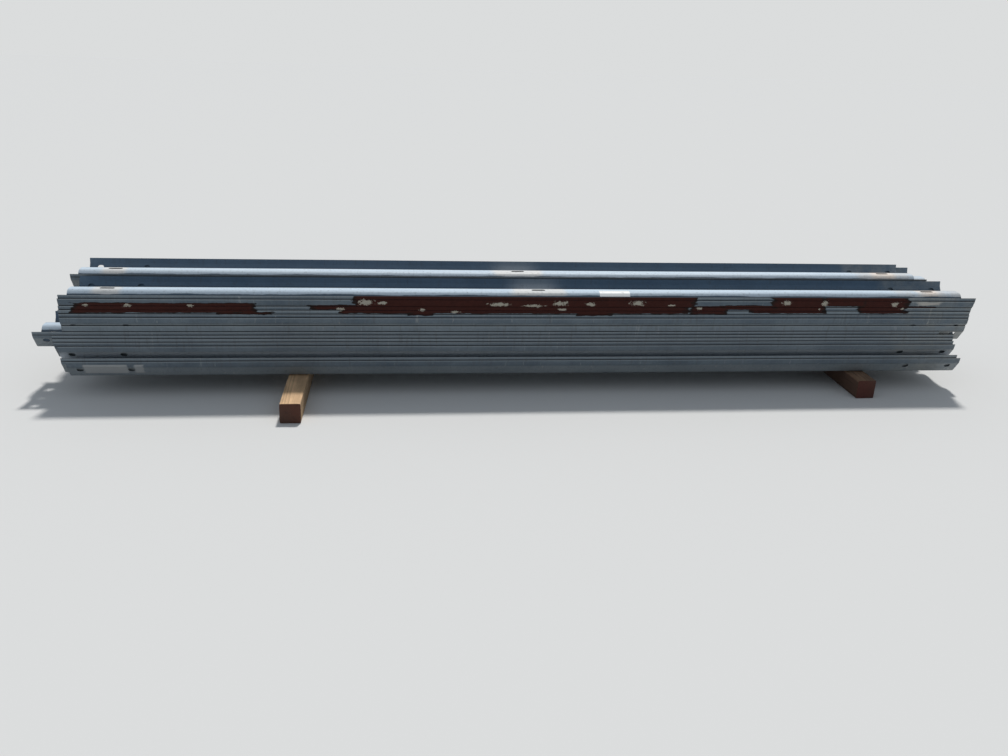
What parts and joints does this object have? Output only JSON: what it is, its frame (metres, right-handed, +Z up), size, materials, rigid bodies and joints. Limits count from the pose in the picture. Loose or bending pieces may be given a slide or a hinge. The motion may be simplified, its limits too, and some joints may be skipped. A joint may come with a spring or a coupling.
{
  "type": "bundle of nested w-beam guardrail rails",
  "caption": "Used W-beam highway guardrail rails nested in two stacks side by side, edges up, across two squared timber bearers.",
  "frame": {"origin": "on the ground, at the middle of the bundle's footprint", "axes": "+X along the rails, to the right seen from the pictured side; +Y across the rails, away from that side; +Z up"},
  "size_m": [4.2766, 1.4382, 0.4737],
  "materials": {
    "galvanised_steel": "weathered hot-dip zinc, dull, with brown stains and flaked patches",
    "timber": "rough sawn, weathered"
  },
  "bodies": {
    "root": {"far_rail_01": "galvanised_steel", "far_rail_02": "galvanised_steel", "far_rail_03": "galvanised_steel", "far_rail_04": "galvanised_steel", "far_rail_05": "galvanised_steel", "far_rail_06": "galvanised_steel", "far_rail_07": "galvanised_steel", "far_rail_08": "galvanised_steel", "far_rail_09": "galvanised_steel", "far_rail_10": "galvanised_steel", "far_rail_11": "galvanised_steel", "far_rail_12": "galvanised_steel", "far_rail_13": "galvanised_steel", "far_rail_14": "galvanised_steel", "left_bearer": "timber", "near_rail_01": "galvanised_steel", "near_rail_02": "galvanised_steel", "near_rail_03": "galvanised_steel", "near_rail_04": "galvanised_steel", "near_rail_05": "galvanised_steel", "near_rail_06": "galvanised_steel", "near_rail_07": "galvanised_steel", "near_rail_08": "galvanised_steel", "near_rail_09": "galvanised_steel", "near_rail_10": "galvanised_steel", "near_rail_11": "galvanised_steel", "near_rail_12": "galvanised_steel", "near_rail_13": "galvanised_steel", "near_rail_14": "galvanised_steel", "right_bearer": "timber"}
  },
  "joints": []
}
